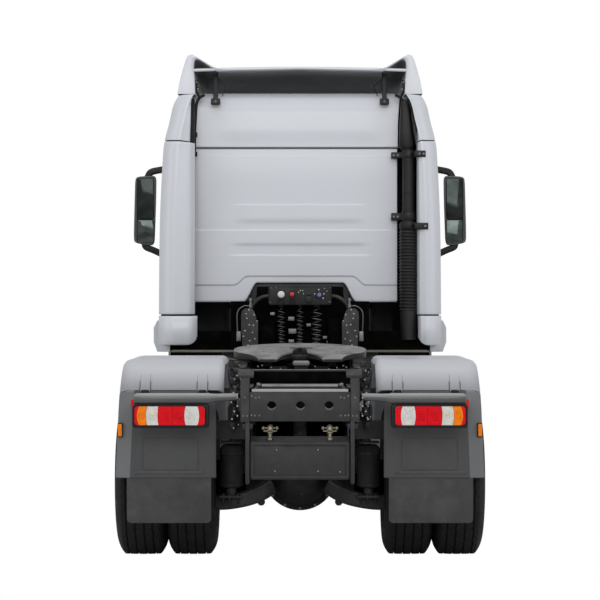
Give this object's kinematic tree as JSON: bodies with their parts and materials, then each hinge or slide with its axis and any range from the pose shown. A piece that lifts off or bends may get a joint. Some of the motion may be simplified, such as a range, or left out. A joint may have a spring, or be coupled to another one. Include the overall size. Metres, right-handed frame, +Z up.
{
  "type": "semi truck tractor unit",
  "caption": "Two-axle cab-over semi truck tractor unit with a fifth wheel, twin rear wheels, tilting cab, opening doors and steering front wheels.",
  "frame": {"origin": "on the ground below the middle of the vehicle's overall length and width", "axes": "+Z up, +Y the way it drives, +X its right-hand side"},
  "size_m": [3.045, 6, 3.766],
  "materials": {
    "body_paint": "semi-gloss",
    "chassis_paint": "satin",
    "rear_beam_paint": "satin",
    "grey_plastic": "satin",
    "dark_plastic": "matt",
    "tyre_rubber": "matt",
    "rim_steel": "satin",
    "worn_steel": "worn",
    "cast_iron": "matt",
    "rubber": "matt",
    "glass": "clear",
    "lamp_lens": "gloss",
    "aluminium": "satin",
    "seat_fabric": "matt",
    "trim_plastic": "matt"
  },
  "bodies": {
    "chassis": {"air_coil_left": "rubber", "air_coil_right": "rubber", "air_spring_left": "rubber", "air_spring_right": "rubber", "battery_box": "dark_plastic", "cab_mount_left": "chassis_paint", "cab_mount_right": "chassis_paint", "driveline": "cast_iron", "fifth_wheel_base": "chassis_paint", "front_axle": "cast_iron", "front_bumper": "body_paint", "fuel_tank": "aluminium", "ladder_frame": "chassis_paint", "line_gantry": "chassis_paint", "power_coil": "rubber", "rear_axle": "cast_iron", "rear_beam": "rear_beam_paint", "rear_lamp_left": "lamp_lens", "rear_lamp_right": "lamp_lens", "rear_mudguard_left": "grey_plastic", "rear_mudguard_right": "grey_plastic", "silencer": "aluminium", "step_well_left": "dark_plastic", "step_well_right": "dark_plastic"},
    "cab": {"cab_roof": "body_paint", "cab_back": "body_paint", "cab_side_left": "body_paint", "cab_side_right": "body_paint", "cab_front": "body_paint", "windscreen": "glass", "grille": "dark_plastic", "cab_floor": "trim_plastic", "side_fairing_left": "body_paint", "side_fairing_right": "body_paint", "roof_spoiler": "body_paint", "mirror_left": "dark_plastic", "mirror_right": "dark_plastic", "air_intake": "dark_plastic", "dashboard": "trim_plastic", "seat_left": "seat_fabric", "seat_right": "seat_fabric", "bunk": "seat_fabric"},
    "door_left": {"door_left": "body_paint", "door_glass_left": "glass"},
    "door_right": {"door_right": "body_paint", "door_glass_right": "glass"},
    "knuckle_left": {"knuckle_left": "cast_iron"},
    "knuckle_right": {"knuckle_right": "cast_iron"},
    "front_wheel_left": {"front_tyre_left": "tyre_rubber", "front_rim_left": "rim_steel"},
    "front_wheel_right": {"front_tyre_right": "tyre_rubber", "front_rim_right": "rim_steel"},
    "rear_wheels_left": {"rear_rims_left": "rim_steel", "rear_tyre_outer_left": "tyre_rubber", "rear_tyre_inner_left": "tyre_rubber"},
    "rear_wheels_right": {"rear_rims_right": "rim_steel", "rear_tyre_outer_right": "tyre_rubber", "rear_tyre_inner_right": "tyre_rubber"},
    "fifth_wheel": {"fifth_wheel_plate": "worn_steel"}
  },
  "joints": [
    {"name": "cab_tilt", "type": "hinge", "parent": "chassis", "child": "cab", "pos_m": [0, 2.86, 1.06], "axis": [-1, 0, 0], "range_deg": [0, 55]},
    {"name": "door_right_hinge", "type": "hinge", "parent": "cab", "child": "door_right", "pos_m": [1.15, 2.584, 2.075], "axis": [0, 0, 1], "range_deg": [0, 70]},
    {"name": "door_left_hinge", "type": "hinge", "parent": "cab", "child": "door_left", "pos_m": [-1.15, 2.584, 2.075], "axis": [0, 0, -1], "range_deg": [0, 70]},
    {"name": "steer_right", "type": "hinge", "parent": "chassis", "child": "knuckle_right", "pos_m": [0.86, 1.6, 0.525], "axis": [0, 0, 1], "range_deg": [-35, 35]},
    {"name": "steer_left", "type": "hinge", "parent": "chassis", "child": "knuckle_left", "pos_m": [-0.86, 1.6, 0.525], "axis": [0, 0, 1], "range_deg": [-35, 35]},
    {"name": "front_roll_right", "type": "hinge", "parent": "knuckle_right", "child": "front_wheel_right", "pos_m": [1.03, 1.6, 0.525], "axis": [1, 0, 0], "continuous": true},
    {"name": "front_roll_left", "type": "hinge", "parent": "knuckle_left", "child": "front_wheel_left", "pos_m": [-1.03, 1.6, 0.525], "axis": [1, 0, 0], "continuous": true},
    {"name": "rear_roll_right", "type": "hinge", "parent": "chassis", "child": "rear_wheels_right", "pos_m": [0.904, -2, 0.525], "axis": [1, 0, 0], "continuous": true},
    {"name": "rear_roll_left", "type": "hinge", "parent": "chassis", "child": "rear_wheels_left", "pos_m": [-0.904, -2, 0.525], "axis": [1, 0, 0], "continuous": true},
    {"name": "fifth_wheel_pitch", "type": "hinge", "parent": "chassis", "child": "fifth_wheel", "pos_m": [0, -1.45, 1.3], "axis": [1, 0, 0], "range_deg": [-15, 7]}
  ],
  "couplings": [
    {"joint": "steer_left", "follows": "steer_right", "ratio": 1}
  ]
}
